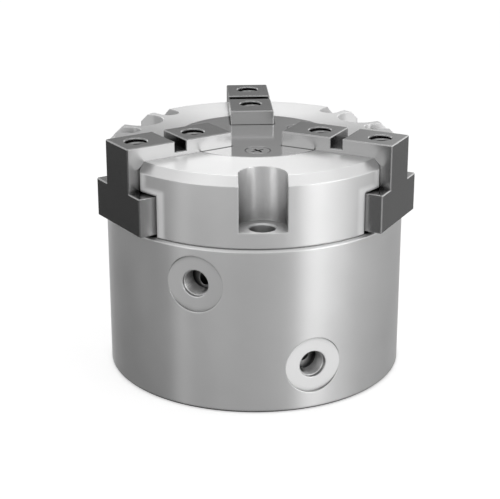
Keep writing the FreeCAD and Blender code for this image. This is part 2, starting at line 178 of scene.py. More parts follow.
def tidyMesh(obj):
    # flat stretches become single faces, and round ones stay as they are
    bm = bmesh.new()
    bm.from_mesh(obj.data)
    bmesh.ops.remove_doubles(bm, verts=bm.verts, dist=sameSpot)
    bmesh.ops.dissolve_degenerate(bm, dist=sameSpot, edges=bm.edges)
    bmesh.ops.dissolve_limit(bm, angle_limit=flatAngle, verts=bm.verts, edges=bm.edges)
    bmesh.ops.recalc_face_normals(bm, faces=bm.faces)
    bm.to_mesh(obj.data)
    bm.free()
    return obj


def outerEdges(bm, rule):
    # sharp outer edges, each with the width that the rule gives it
    widths = {}
    for edge in bm.edges:
        if len(edge.link_faces) == 2 and edge.calc_face_angle_signed() > sharpAngle:
            ends = [v.co / mm for v in edge.verts]
            widths[edge] = rule(ends[0], ends[1])
    return {edge: width for edge, width in widths.items() if width > 0}


def clearCorners(bm, rule):
    # a rounding needs room beside a corner, so the nearest points of each sharp line join the corner
    widths = outerEdges(bm, rule)
    sharp = {v: [] for v in bm.verts}
    for edge in bm.edges:
        if len(edge.link_faces) == 2 and edge.calc_face_angle() > sharpAngle:
            for v in edge.verts:
                sharp[v].append(edge)
    joined = {}
    for corner, lines in sharp.items():
        if len(lines) < 3:
            continue
        reach = cornerRoom * mm * max([widths.get(line, 0) for line in lines])
        for line in lines:
            point = line.other_vert(corner)
            while len(sharp[point]) == 2 and point not in joined and (point.co - corner.co).length < reach:
                joined[point] = corner
                line = [other for other in sharp[point] if other is not line][0]
                point = line.other_vert(point)
    bmesh.ops.weld_verts(bm, targetmap=joined)


def soften(obj, rule, segments=2):
    # rule gives each sharp outer edge its rounding in millimetres
    bm = bmesh.new()
    bm.from_mesh(obj.data)
    clearCorners(bm, rule)
    weights = bm.edges.layers.float.new("bevel_weight_edge")
    widths = outerEdges(bm, rule)
    widest = max(widths.values())
    for edge, width in widths.items():
        edge[weights] = width / widest
    bm.to_mesh(obj.data)
    bm.free()
    bevel = obj.modifiers.new("round", "BEVEL")
    bevel.limit_method = "WEIGHT"
    bevel.width = widest * mm
    bevel.segments = segments
    bevel.use_clamp_overlap = False
    return evaluated(obj)


def shade(obj, sharp=32):
    obj.data.shade_smooth()
    obj.data.set_sharp_from_angle(angle=math.radians(sharp))
    weigh = obj.modifiers.new("weigh", "WEIGHTED_NORMAL")
    weigh.keep_sharp = True
    weigh.weight = 80
    return evaluated(obj)


def copyNode(nodeName):
    # a CAD node's own mesh: its corners are merged and the stored normals go, as shade() makes new ones
    copy = bpy.data.objects.new(nodeName, frame["nodes"][nodeName].data.copy())
    bpy.context.scene.collection.objects.link(copy)
    bm = bmesh.new()
    bm.from_mesh(copy.data)
    bmesh.ops.remove_doubles(bm, verts=bm.verts, dist=sameSpot)
    bm.to_mesh(copy.data)
    bm.free()
    if copy.data.has_custom_normals:
        copy.data.attributes.remove(copy.data.attributes["custom_normal"])
    return copy


def settle(obj, name, body, slotName, nodes=(), paint=None):
    # the finished piece takes its name, body, slot and finish
    obj.name = name
    obj.data.materials.clear()
    obj.data.materials.append(paint or finish[slotName])
    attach(obj, body)
    if nodes:
        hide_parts(*nodes)
    return obj


# Shader maths: a socket in a small class, so that sums are written as sums
class Wire:
    def __init__(self, graph, socket):
        self.graph = graph
        self.socket = socket

    def sum(self, operation, *others):
        values = [self.socket] + [o.socket if isinstance(o, Wire) else o for o in others]
        return self.graph.add("ShaderNodeMath", {"operation": operation}, values)

    def __add__(self, other):
        return self.sum("ADD", other)

    def __radd__(self, other):
        return self.sum("ADD", other)

    def __sub__(self, other):
        return self.sum("SUBTRACT", other)

    def __rsub__(self, other):
        return self.sum("MULTIPLY", -1).sum("ADD", other)

    def __mul__(self, other):
        return self.sum("MULTIPLY", other)

    def __rmul__(self, other):
        return self.sum("MULTIPLY", other)

    def __truediv__(self, other):
        return self.sum("DIVIDE", other)

    def __pow__(self, other):
        return self.sum("POWER", other)


class Graph:
    def __init__(self, tree):
        self.tree = tree

    def node(self, kind, settings=None, sockets=None):
        # settings first, then values or links of sockets, by place or by name
        made = self.tree.nodes.new(kind)
        for key, value in (settings or {}).items():
            if key == "stops":
                elements = made.color_ramp.elements
                while len(elements) > 1:
                    elements.remove(elements[0])
                for i, (place, colour) in enumerate(value):
                    stop = elements[0] if i == 0 else elements.new(place)
                    stop.position = place
                    stop.color = colour
            else:
                setattr(made, key, value)
        pairs = sockets.items() if isinstance(sockets, dict) else enumerate(sockets or [])
        for key, value in pairs:
            value = value.socket if isinstance(value, Wire) else value
            if isinstance(value, bpy.types.NodeSocket):
                self.tree.links.new(value, made.inputs[key])
            else:
                made.inputs[key].default_value = value
        return made

    def add(self, kind, settings=None, sockets=None, output=0):
        return Wire(self, self.node(kind, settings, sockets).outputs[output])


def grey(value, warmth=0.0):
    return (value * (1 + warmth), value, value * (1 - warmth), 1)


def newMaterial(name):
    material = bpy.data.materials.new(name)
    material.use_nodes = True
    material.node_tree.nodes.clear()
    return material, Graph(material.node_tree)


def noise(graph, place, scale, detail, roughness=0.5):
    return graph.add("ShaderNodeTexNoise", {"noise_dimensions": "3D"},
                     {"Vector": place, "Scale": scale, "Detail": detail, "Roughness": roughness})


def ramp(graph, value, start, end, curve="LINEAR"):
    # 0 where the value is at the start and 1 where it is at the end
    return graph.add("ShaderNodeMapRange", {"interpolation_type": curve},
                     {"Value": value, "From Min": start, "From Max": end})


def blend(graph, share, first, second):
    return graph.add("ShaderNodeMix", {"data_type": "RGBA"}, {0: share, 6: first, 7: second}, output=2)


def metalFinish(name, look):
    # one recipe for every metal here: grain, mottling, worn edges that double as painted edge highlights,
    # painted shade in depths, a painted highlight band at the slot mouths, fine bump
    material, graph = newMaterial(name)
    place = graph.add("ShaderNodeTexCoord", output=3)
    rotation = (0, 0, -math.radians(look["turn"]))
    turned = graph.add("ShaderNodeMapping", {}, {"Vector": place, "Rotation": rotation})
    parts = graph.node("ShaderNodeSeparateXYZ", {}, [turned])
    x, y, z = (Wire(graph, parts.outputs[i]) for i in range(3))
    radius = (x * x + y * y) ** 0.5
    normal = graph.node("ShaderNodeNewGeometry")
    facing = graph.node("ShaderNodeSeparateXYZ", {}, [normal.outputs["True Normal"]])
    level = Wire(graph, facing.outputs[2]).sum("ABSOLUTE")

    # grain: rings on flat faces, turning marks on round ones, or ground lines along a jaw
    if look["grain"] == "turned":
        flat = level.sum("GREATER_THAN", look["flatFrom"])
        along = radius * flat + z * (1 - flat)
        grainPlace = graph.add("ShaderNodeCombineXYZ", {}, [along * look["pitch"], 0.0, 0.0])
    else:
        grainPlace = graph.add("ShaderNodeVectorMath", {"operation": "MULTIPLY"}, [turned, look["lines"]])
    grain = noise(graph, grainPlace, scale=1.0, detail=3.0, roughness=0.65)
    mottle = noise(graph, place, look["mottleScale"], detail=4.0, roughness=0.6)
    specks = noise(graph, place, look["speckScale"], detail=2.0)

    # painted shade: the colour darkens in depths where little light comes, a piece's own pockets, and seams
    # between pieces
    pocket = graph.add("ShaderNodeAmbientOcclusion", {"samples": 6, "only_local": True},
                       {"Distance": look["pocket"] * mm}, output=1)
    seam = graph.add("ShaderNodeAmbientOcclusion", {"samples": 6}, {"Distance": look["seam"] * mm}, output=1)
    unshadedShare = ramp(graph, pocket, *look["pocketRange"]) * ramp(graph, seam, *look["seamRange"])

    # worn edges, partly real wear and partly painted edge highlight: lighter where the rounded normal leaves
    # the real one
    rounded = graph.add("ShaderNodeBevel", {"samples": 4}, {"Radius": look["edgeWidth"] * mm})
    same = graph.add("ShaderNodeVectorMath", {"operation": "DOT_PRODUCT"},
                     [rounded, normal.outputs["Normal"]], output=1)
    edge = ((1 - same) * look["edgeGain"]).sum("MINIMUM", 1.0)
    wearAndHighlight = edge * (mottle * look["edgeMottle"] + look["edgeLeast"]).sum("MINIMUM", 1.0)

    # painted highlight: a lighter, less metallic band round the mouths of the three slots, on steep faces,
    # standing for light on their rounded lips: middle is 1 along each slot's middle line and falls to its
    # sides
    sine = y / radius
    middle = sine * sine * sine * 4.0 - sine * 3.0
    mouth = 0.0
    for (outside, inside), (above, below) in look["mouths"]:
        here = ramp(graph, middle, outside, inside) * ramp(graph, z, above * mm, below * mm)
        mouth = here.sum("MAXIMUM", mouth)
    lipHighlight = level.sum("LESS_THAN", look["steepTo"]) * mouth

    tone = mottle * look["mottle"] + grain * look["streak"] + specks * look["speck"]
    centre = (look["mottle"] + look["streak"] + look["speck"]) / 2
    bright = (tone + (0.5 - centre)).sum("MINIMUM", 1.0)
    dark, light, wornAndLitTone = (grey(look[key], look["warm"]) for key in ("dark", "light", "wornAndLitTone"))
    colour = blend(graph, bright, dark, light)
    # the lighter tone goes on worn edges (partly real wear, partly painted highlight) and on the slot lips
    # (painted highlight)
    colour = blend(graph, (wearAndHighlight * look["wearAndHighlight"]).sum("MAXIMUM", lipHighlight * look["lipHighlightTone"]), colour, wornAndLitTone)
    # painted shade: the colour goes towards black where the depths keep light out
    colour = blend(graph, unshadedShare * (1 - look["depth"]) + look["depth"], grey(0.0), colour)
    rough = grain * look["roughGrain"] + mottle * look["roughMottle"]
    rough = rough + (look["rough"] - (look["roughGrain"] + look["roughMottle"]) / 2)
    height = grain * look["grainDepth"] + specks * look["speckDepth"]
    bump = graph.add("ShaderNodeBump", {}, {
        "Strength": look["bump"], "Distance": look["bumpDepth"] * mm, "Height": height, "Normal": rounded})
    shader = graph.add("ShaderNodeBsdfPrincipled", {}, {
        "Base Color": colour, "Roughness": rough, "Metallic": look["metallic"] - lipHighlight * look["lipHighlightMatt"],
        "Normal": bump, "Anisotropic": look["brushed"], "Anisotropic Rotation": look["brushTurn"]})
    graph.node("ShaderNodeOutputMaterial", {}, {"Surface": shader})
    return material


def softFinish(name, look):
    # rubber and plastic: matt, with a fine moulded skin and dust in the low spots
    material, graph = newMaterial(name)
    place = graph.add("ShaderNodeTexCoord", output=3)
    skin = noise(graph, place, look["skin"], detail=3.0)
    dust = noise(graph, place, look["dust"], detail=4.0)
    colour = blend(graph, dust * skin, look["dark"], look["light"])
    rough = skin * look["roughSkin"] + (look["rough"] - look["roughSkin"] / 2)
    bump = graph.add("ShaderNodeBump", {}, {
        "Strength": look["bump"], "Distance": look["bumpDepth"] * mm, "Height": skin})
    shader = graph.add("ShaderNodeBsdfPrincipled", {}, {
        "Base Color": colour, "Roughness": rough, "Metallic": 0.0, "Normal": bump})
    graph.node("ShaderNodeOutputMaterial", {}, {"Surface": shader})
    return material


# Finishes, one per material slot of the record
plainMetal = {
    "grain": "turned", "pitch": 9000.0, "lines": (300.0, 9000.0, 300.0), "turn": 0, "flatFrom": 0.8,
    "dark": 0.6, "light": 0.75, "wornAndLitTone": 0.9, "warm": 0.0, "metallic": 1.0,
    "brushed": 0.0, "brushTurn": 0.25,
    "mottle": 0.5, "mottleScale": 45.0, "streak": 0.3, "speck": 0.2, "speckScale": 3000.0,
    "rough": 0.35, "roughGrain": 0.1, "roughMottle": 0.06,
    "bump": 0.25, "bumpDepth": 0.02, "grainDepth": 0.7, "speckDepth": 0.5,
    "wearAndHighlight": 0.6, "edgeWidth": 0.5, "edgeGain": 6.0, "edgeMottle": 0.6, "edgeLeast": 0.5,
    "pocket": 12.0, "pocketRange": (0.15, 0.5), "seam": 2.5, "seamRange": (0.1, 0.45), "depth": 0.04,
    "mouths": [], "steepTo": 0.5, "lipHighlightTone": 0.0, "lipHighlightMatt": 0.0,
}
metalLooks = {
    "housing_metal": {
        "dark": 0.66, "light": 0.8, "wornAndLitTone": 0.92, "wearAndHighlight": 0.1, "rough": 0.36, "bump": 0.15, "brushed": 0.8,
        "pocketRange": (0.0, 0.3), "seam": 1.8, "seamRange": (0.4, 0.9), "depth": 0.12,
    },
    "guide_metal": {
        "dark": 0.7, "light": 0.84, "wornAndLitTone": 0.94, "wearAndHighlight": 0.3, "rough": 0.36, "bump": 0.12, "brushed": 0.8,
        "pocket": 18.0, "pocketRange": (0.12, 0.48), "seam": 0.8, "seamRange": (0.0, 0.2), "depth": 0.1,
        # the slot mouths' painted highlight band: its extents across each slot and up its wall
        "mouths": [((0.375, 0.45), (79.3, 77.9)), ((0.745, 0.81), (84.2, 83.2))],
        "lipHighlightTone": 1.0, "lipHighlightMatt": 0.65,
    },
    "cover_plate": {
        "dark": 0.7, "light": 0.76, "wornAndLitTone": 0.76, "wearAndHighlight": 0.0, "edgeWidth": 0.12, "rough": 0.12,
        "roughGrain": 0.03, "bump": 0.05, "pitch": 12000.0, "seam": 1.0, "seamRange": (0.65, 1.0),
    },
    "cover_alloy": {"rough": 0.36},
    "screw_steel": {
        "dark": 0.72, "light": 0.78, "wornAndLitTone": 0.8, "wearAndHighlight": 0.0, "edgeWidth": 0.12, "rough": 0.14, "bump": 0.06,
        "pocket": 4.0, "pocketRange": (0.62, 0.98), "seam": 1.0, "seamRange": (0.3, 0.7),
    },
    "ground_steel": {"dark": 0.6, "light": 0.68, "rough": 0.16, "bump": 0.06},
    "spring_steel": {"dark": 0.07, "light": 0.11, "wornAndLitTone": 0.3, "rough": 0.42, "metallic": 0.6},
    "bush_bronze": {"dark": 0.42, "light": 0.52, "warm": 0.28, "rough": 0.4},
}
jawLook = {
    **plainMetal, "grain": "ground", "lines": (90.0, 6000.0, 6000.0), "dark": 0.3, "light": 0.37, "wornAndLitTone": 0.8,
    "mottle": 0.4, "streak": 0.4, "rough": 0.22, "roughGrain": 0.05, "roughMottle": 0.04, "bump": 0.05,
    "wearAndHighlight": 0.8, "edgeWidth": 0.2, "pocket": 9.0, "pocketRange": (0.5, 0.85),
    "seam": 0.8, "seamRange": (0.0, 0.2),
}
# a darker copy of the jaw steel for the threads: painted shade inside the tapped holes
shadedThreadLook = {**jawLook, "dark": 0.24, "light": 0.34, "wornAndLitTone": 0.5, "pocketRange": (0.3, 0.75)}
plainSoft = {"dust": 220.0, "roughSkin": 0.2, "bump": 0.4, "bumpDepth": 0.02}
softLooks = {
    "seal_rubber": {"dark": grey(0.012), "light": grey(0.05), "rough": 0.55, "skin": 4000.0},
    "guide_plastic": {
        "dark": (0.62, 0.56, 0.44, 1), "light": (0.72, 0.67, 0.56, 1), "rough": 0.45, "skin": 2500.0,
    },
}
for slotName, look in metalLooks.items():
    finish[slotName] = metalFinish(slotName, {**plainMetal, **look})
for side, angle in jawAngles.items():
    finish["jaw_" + side] = metalFinish("jaw_steel_" + side, {**jawLook, "turn": angle})
finish["jaw_steel"] = metalFinish("jaw_steel", jawLook)
finish["jaw_thread_shaded"] = metalFinish("jaw_thread_shaded", shadedThreadLook)
for slotName, look in softLooks.items():
    finish[slotName] = softFinish(slotName, {**plainSoft, **look})
print("finishes made")


# Cylinder housing
housing = {
    "radius": 55.0, "top": 61.2, "foot": 0.8, "shoulder": 0.9, "edge": 0.2, "crisp": 0.04,
    "bore": 38.0, "counterbore": 39.0, "ringGroove": 40.5, "grooveLow": 1.45, "grooveHigh": 4.05,
    "step": 13.0, "chamberTop": 39.3, "pocketFloor": 51.0, "pocket": 28.62,
    "rodHole": 10.3, "sealGroove": 13.0, "sealLow": 40.8, "sealHigh": 44.4, "bush": 12.0, "bushLow": 45.4,
    "recess": 43.03, "recessFloor": 57.1, "baseHole": 3.0, "baseHoleDepth": 8.0, "baseHoleCircle": 47.0,
    "screwHole": 4.5, "screwCircle": 48.4,
}
port = {
    "faceRadius": 10.35, "faceDepth": 1.0, "thread": 4.86, "depth": 8.5, "mouth": 0.35, "passage": 2.0,
    "places": {"upper": (244.5, 47.2), "lower": (289.2, 16.8)}, "inset": 35.5,
}


def makeHousing():
    h = housing
    body = lathe("housing", [
        (h["counterbore"], 0), (h["radius"] - h["foot"], 0), (h["radius"], h["foot"]),
        (h["radius"], h["top"] - h["shoulder"]), (h["radius"] - h["shoulder"], h["top"]),
        (h["recess"], h["top"]), (h["recess"], h["recessFloor"]), (h["pocket"], h["recessFloor"]),
        (h["pocket"], h["pocketFloor"]), (h["bush"], h["pocketFloor"]), (h["bush"], h["bushLow"]),
        (h["rodHole"], h["bushLow"]), (h["rodHole"], h["sealHigh"]), (h["sealGroove"], h["sealHigh"]),
        (h["sealGroove"], h["sealLow"]), (h["rodHole"], h["sealLow"]), (h["rodHole"], h["chamberTop"]),
        (h["bore"], h["chamberTop"]), (h["bore"], h["step"]), (h["counterbore"], h["step"]),
        (h["counterbore"], h["grooveHigh"]), (h["ringGroove"], h["grooveHigh"]),
        (h["ringGroove"], h["grooveLow"]), (h["counterbore"], h["grooveLow"]),
    ], steps["body"])
    face = h["radius"] - port["faceDepth"]
    tools = []
    for angle in sectorAngles:
        hole = drum(h["screwHole"], -past, h["top"] + past, steps["bolt"], h["screwCircle"])
        tools.append(turn(hole, angle))
    for angle in (0, 180):
        hole = drum(h["baseHole"], -past, h["baseHoleDepth"], steps["small"], h["baseHoleCircle"])
        tools.append(turn(hole, angle))
    for angle, height in port["places"].values():
        tools.append(layAlong(drum(port["faceRadius"], face, far, steps["face"]), angle, height))
        tools.append(layAlong(drum(port["thread"], face - port["depth"], far, steps["port"]), angle, height))

    # air passages: a straight one to the lower chamber, and a slanted one to the upper chamber's top
    inner = face - port["depth"] + past
    angle, height = port["places"]["lower"]
    tools.append(layAlong(drum(port["passage"], h["bore"] - past, inner, steps["small"]), angle, height))
    angle, height = port["places"]["upper"]
    foot = h["chamberTop"] - past
    run = inner - port["inset"]
    rise = height - foot
    slant = drum(port["passage"], 0, math.hypot(run, rise), steps["small"])
    slant.data.transform(Matrix.Rotation(math.atan2(run, rise), 4, "Y"))
    slant.data.transform(Matrix.Translation((port["inset"] * mm, 0, foot * mm)))
    tools.append(turn(slant, angle))
    tidyMesh(carve(body, tools))

    def atMouth(point, angle, height):
        away = Vector((math.cos(math.radians(angle)), math.sin(math.radians(angle)), 0))
        offset = point - Vector((0, 0, height))
        out = offset.dot(away)
        return abs((offset - away * out).length - port["thread"]) < close and out > face - beside

    def rounding(a, b):
        # the spot faces have crisp rims, as milled; port mouths and the turned rims are broken more
        if any(atMouth(a, angle, height) for angle, height in port["places"].values()):
            return port["mouth"]
        lower = min(a.z, b.z)
        if lower > h["top"] - h["shoulder"] - beside:
            return h["edge"]
        atFoot = abs(a.z - b.z) < sameLevel and lower < h["foot"] + beside
        return h["edge"] if atFoot else h["crisp"]

    soften(body, rounding)
    return settle(shade(body), "housing_shell", "housing", "housing_metal", ["cylinder_housing"])


# Guide body
def makeGuide():
    # the drawing's own mesh: its mouths are rounded there, and the finish rounds the rest
    body = copyNode("guide_body")
    return settle(shade(body, sharp=24), "guide_shell", "housing", "guide_metal", ["guide_body"])


# Jaws
jaw = {
    "start": 2.0, "inner": 15.0, "outer": 57.5, "neck": 16.2, "flange": 31.3, "low": 61.8, "shoulder": 75.8,
    "top": 91.8, "hookTop": 80.8, "grooveStart": 34.0, "grooveEnd": 38.5, "grooveFloor": 88.0,
    "holes": [26.45, 49.7], "thread": 4.0, "depth": 11.0,
    "corner": 0.4, "rim": 0.3, "holeRim": 0.35, "inside": 0.15,
    "tongueTop": 77.8, "tongueLow": 62.0, "neckWidth": 5.5, "neckDepth": 2.55,
    "headWidth": 10.0, "headDepth": 5.55, "joined": 0.5,
}
wedge = {"ratio": 0.6, "face": 21.5, "datum": 61.2, "play": 0.05}


def wedgeFace(z, depth=0.0):
    # distance from the axis to the wedge core's inclined face, or to a depth below it
    slant = math.hypot(1, wedge["ratio"])
    return wedge["face"] - wedge["ratio"] * (z - wedge["datum"]) - depth * slant


def tongue(width, near, deep):
    # a slanted bar that runs between two depths below the wedge core's face
    low = jaw["tongueLow"]
    high = jaw["tongueTop"]
    outline = [(wedgeFace(low, near), low), (wedgeFace(low, deep), low),
               (wedgeFace(high, deep), high), (wedgeFace(high, near), high)]
    return prism("tongue", outline, -width / 2, width / 2, "xz")


def makeJaw(side, angle):
    j = jaw
    half = j["neck"] / 2
    wide = j["flange"] / 2
    section = [(-wide, j["low"]), (wide, j["low"]), (wide, j["shoulder"]), (half, j["shoulder"]),
               (half, j["top"]), (-half, j["top"]), (-half, j["shoulder"]), (-wide, j["shoulder"])]
    body = prism("jaw", section, j["start"], j["outer"], "yz")
    under = j["low"] - past
    over = j["top"] + past
    foot = wedgeFace(j["low"], -wedge["play"])
    profile = [
        (foot, under), (far, under), (far, over), (j["grooveEnd"], over), (j["grooveEnd"], j["grooveFloor"]),
        (j["grooveStart"], j["grooveFloor"]), (j["grooveStart"], over), (j["inner"], over),
        (j["inner"], j["hookTop"]), (wedgeFace(j["hookTop"], -wedge["play"]), j["hookTop"]), (foot, j["low"]),
    ]
    carve(body, [prism("side", profile, -far, far, "xz")], "INTERSECT")
    carve(body, [tongue(j["neckWidth"], -past, j["neckDepth"] + j["joined"]),
                 tongue(j["headWidth"], j["neckDepth"], j["headDepth"])], "UNION")
    carve(body, [drum(j["thread"], j["top"] - j["depth"], over, steps["hole"], x) for x in j["holes"]])
    tidyMesh(body)

    def rounding(a, b):
        inmost = min(a.x, b.x)
        if any(abs(math.hypot(a.x - x, a.y) - j["thread"]) < close for x in j["holes"]):
            return j["holeRim"]
        if inmost > j["outer"] - beside and abs(a.y - b.y) < beside:
            return j["corner"]
        return j["rim"] if inmost > j["inner"] - beside else j["inside"]

    soften(body, rounding, segments=1)
    turn(body, angle)
    return settle(shade(body), "jaw_" + side + "_block", side + "_jaw", "jaw_steel",
                  ["jaw_" + side], finish["jaw_" + side])


# Centre cover
cover = {
    "radius": 28.95, "low": 81.5, "top": 86.5, "slotEnd": 14.75, "slotWidth": 16.36, "edge": 0.21,
    "screwCircle": 20.0, "sink": 4.7, "sinkDepth": 2.45, "sinkEdge": 0.1, "hole": 2.6, "shortEdge": 1.0,
}


def makeCover():
    c = cover
    body = drum(c["radius"], c["low"], c["top"], steps["cover"])
    under = c["low"] - past
    over = c["top"] + past
    half = c["slotWidth"] / 2
    slot = [(c["slotEnd"], -half), (far, -half), (far, half), (c["slotEnd"], half)]
    tools = [turn(prism("slot", slot, under, over), angle) for angle in jawAngles.values()]
    floor = c["top"] - c["sinkDepth"]
    for angle in sectorAngles:
        sink = lathe("sink", [
            (0, under), (c["hole"], under), (c["hole"], floor),
            (c["sink"], floor + c["sink"] - c["hole"]), (c["sink"], over), (0, over),
        ], steps["hole"])
        sink.data.transform(Matrix.Translation((c["screwCircle"] * mm, 0, 0)))
        tools.append(turn(sink, angle))
    tidyMesh(carve(body, tools))

    def rounding(a, b):
        reach = ((a + b) / 2).to_2d().length
        inSink = abs(reach - c["screwCircle"]) < c["sink"] + beside and (a - b).length < c["shortEdge"]
        return c["sinkEdge"] if inSink else c["edge"]

    soften(body, rounding)
    return settle(shade(body), "centre_cover_plate", "housing", "cover_plate", ["centre_cover"])


# Node trees that set out what repeats
def nodeTree(name, inputs):
    # a tree with these inputs, by name and kind of socket, and one result
    tree = bpy.data.node_groups.new(name, "GeometryNodeTree")
    for label, kind in inputs.items():
        tree.interface.new_socket(label, in_out="INPUT", socket_type="NodeSocket" + kind)
    tree.interface.new_socket("Result", in_out="OUTPUT", socket_type="NodeSocketGeometry")
    return tree, tree.nodes.new("NodeGroupInput"), tree.nodes.new("NodeGroupOutput")


def setOut(tree, start, end, points, instance):
    # the instance on each point, made real and painted
    real = tree.nodes.new("GeometryNodeRealizeInstances")
    paint = tree.nodes.new("GeometryNodeSetMaterial")
    link = tree.links.new
    link(instance, points.inputs["Instance"])
    link(points.outputs[0], real.inputs[0])
    link(real.outputs[0], paint.inputs["Geometry"])
    link(start.outputs["Finish"], paint.inputs["Material"])
    link(paint.outputs[0], end.inputs[0])


def spreadTree():
    # one drawn screw on each of the given points, each turned by its own angle
    tree, start, end = nodeTree("spread", {
        "Places": "Geometry", "Screw": "Object", "Seed": "Int", "Finish": "Material"})
    info = tree.nodes.new("GeometryNodeObjectInfo")
    spin = tree.nodes.new("FunctionNodeRandomValue")
    spin.data_type = "FLOAT_VECTOR"
    spin.inputs[0].default_value = (0, 0, 0)
    spin.inputs[1].default_value = (0, 0, math.pi)
    points = tree.nodes.new("GeometryNodeInstanceOnPoints")
    link = tree.links.new
    link(start.outputs["Screw"], info.inputs["Object"])
    link(start.outputs["Seed"], spin.inputs["Seed"])
    link(start.outputs["Places"], points.inputs["Points"])
    link(spin.outputs[0], points.inputs["Rotation"])
    setOut(tree, start, end, points, info.outputs["Geometry"])
    return tree


def feed(modifier, tree, values):
    # an input is set by its socket's identifier
    for item in tree.interface.items_tree:
        if item.item_type == "SOCKET" and item.in_out == "INPUT" and item.name in values:
            modifier[item.identifier] = values[item.name]


spread = spreadTree()


def spreadOut(screw, circle, angles, height, name, node, seed):
    obj = meshObject(name, ring(circle, angles, height), [])
    modifier = obj.modifiers.new("spread", "NODES")
    modifier.node_group = spread
    feed(modifier, spread, {"Screw": screw, "Seed": seed, "Finish": finish["screw_steel"]})
    evaluated(obj)
    bpy.data.objects.remove(screw)
    return settle(obj, name, "housing", "screw_steel", [node])


coverScrew = {
    "head": 4.35, "top": -0.06, "rim": 0.12, "depth": 2.1, "shank": 2.45, "length": 14.0, "edge": 0.08,
    "cross": 5.0, "width": 0.95, "recess": 1.9, "shoulder": 0.1, "floorShare": 0.4, "seed": 4,
}
fixingScrew = {
    "head": 3.5, "height": 4.0, "shank": 1.95, "length": 20.0, "socket": 1.7, "recess": 2.2, "edge": 0.18,
    "circle": 47.0, "floor": 72.0, "seed": 7,
}


def makeCoverScrews():
    s = coverScrew
    top = s["top"]
    screw = lathe("screw", [
        (0, -s["length"]), (s["shank"], -s["length"]), (s["shank"], top - s["depth"]),
        (s["head"], top - s["rim"]), (s["head"], top), (0, top),
    ], steps["hole"])
    wing = s["cross"] / 2
    tip = s["width"] / 2
    low = top - s["recess"]
    brink = top - s["shoulder"]
    outline = [(-wing, top + past), (-wing, brink), (-wing * s["floorShare"], low),
               (wing * s["floorShare"], low), (wing, brink), (wing, top + past)]
    carve(screw, [turn(prism("wing", outline, -tip, tip, "xz"), angle) for angle in (0, 90)])
    tidyMesh(screw)
    soften(screw, lambda a, b: s["edge"])
    return spreadOut(shade(screw), cover["screwCircle"], sectorAngles, cover["top"],
                     "cover_screw_set", "cover_screws", s["seed"])


def makeFixingScrews():
    s = fixingScrew
    screw = lathe("screw", [
        (0, -s["length"]), (s["shank"], -s["length"]), (s["shank"], 0), (s["head"], 0),
        (s["head"], s["height"]), (0, s["height"]),
    ], steps["bolt"])
    corners = [(x, y) for x, y, z in ring(s["socket"], range(0, 360, 60), 0)]
    tidyMesh(carve(screw, [prism("socket", corners, s["height"] - s["recess"], s["height"] + past)]))
    soften(screw, lambda a, b: s["edge"])
    return spreadOut(shade(screw), s["circle"], fixingAngles, s["floor"],
                     "housing_screw_set", "housing_screws", s["seed"])


# Threads: a ridge that follows a helix on the wall of each tapped hole
def threadTree():
    tree, start, end = nodeTree("thread", {
        "Holes": "Geometry", "Radius": "Float", "Pitch": "Float", "Turns": "Float", "Ridge": "Float",
        "Finish": "Material"})
    helix = tree.nodes.new("GeometryNodeCurveSpiral")
    helix.inputs["Resolution"].default_value = 48
    height = tree.nodes.new("ShaderNodeMath")
    height.operation = "MULTIPLY"
    upright = tree.nodes.new("GeometryNodeSetCurveNormal")
    upright.mode = "Z_UP"
    ridge = tree.nodes.new("GeometryNodeCurvePrimitiveCircle")
    ridge.inputs["Resolution"].default_value = 4
    sweep = tree.nodes.new("GeometryNodeCurveToMesh")
    sweep.inputs["Fill Caps"].default_value = True
    points = tree.nodes.new("GeometryNodeInstanceOnPoints")
    link = tree.links.new
    link(start.outputs["Radius"], helix.inputs["Start Radius"])
    link(start.outputs["Radius"], helix.inputs["End Radius"])
    link(start.outputs["Turns"], helix.inputs["Rotations"])
    link(start.outputs["Pitch"], height.inputs[0])
    link(start.outputs["Turns"], height.inputs[1])
    link(height.outputs[0], helix.inputs["Height"])
    link(start.outputs["Ridge"], ridge.inputs["Radius"])
    link(helix.outputs[0], upright.inputs[0])
    link(upright.outputs[0], sweep.inputs["Curve"])
    link(ridge.outputs["Curve"], sweep.inputs["Profile Curve"])
    link(start.outputs["Holes"], points.inputs["Points"])
    setOut(tree, start, end, points, sweep.outputs[0])
    return tree


thread = threadTree()
jawThread = {"Radius": 4.0, "Pitch": 1.25, "Turns": 7.5, "Ridge": 0.6, "top": 1.0}
portThread = {"Radius": 4.86, "Pitch": 0.907, "Turns": 7.5, "Ridge": 0.4, "top": 1.3}


def threadLength(sizes):
    # from a hole's mouth down to where its thread starts
    return sizes["top"] + sizes["Pitch"] * sizes["Turns"]


def threadObject(places, sizes, paint):
    obj = meshObject("thread", places, [])
    modifier = obj.modifiers.new("thread", "NODES")
    modifier.node_group = thread
    feed(modifier, thread, {
        "Radius": sizes["Radius"] * mm, "Pitch": sizes["Pitch"] * mm, "Turns": sizes["Turns"],
        "Ridge": sizes["Ridge"] * mm, "Finish": paint})
    return evaluated(obj)


def makeThreads():
    low = jaw["top"] - threadLength(jawThread)
    # the jaw threads take the darker thread finish, painted shade inside the holes
    paint = finish["jaw_thread_shaded"]
    for side, angle in jawAngles.items():
        places = [spot for x in jaw["holes"] for spot in ring(x, [angle], low)]
        obj = threadObject(places, jawThread, paint)
        settle(shade(obj), "jaw_" + side + "_threads", side + "_jaw", "jaw_steel", (), paint)
    start = housing["radius"] - port["faceDepth"] - threadLength(portThread)
    for name, (angle, height) in port["places"].items():
        obj = threadObject([(0, 0, start)], portThread, finish["housing_metal"])
        layAlong(obj, angle, height)
        settle(shade(obj), name + "_port_thread", "housing", "housing_metal")


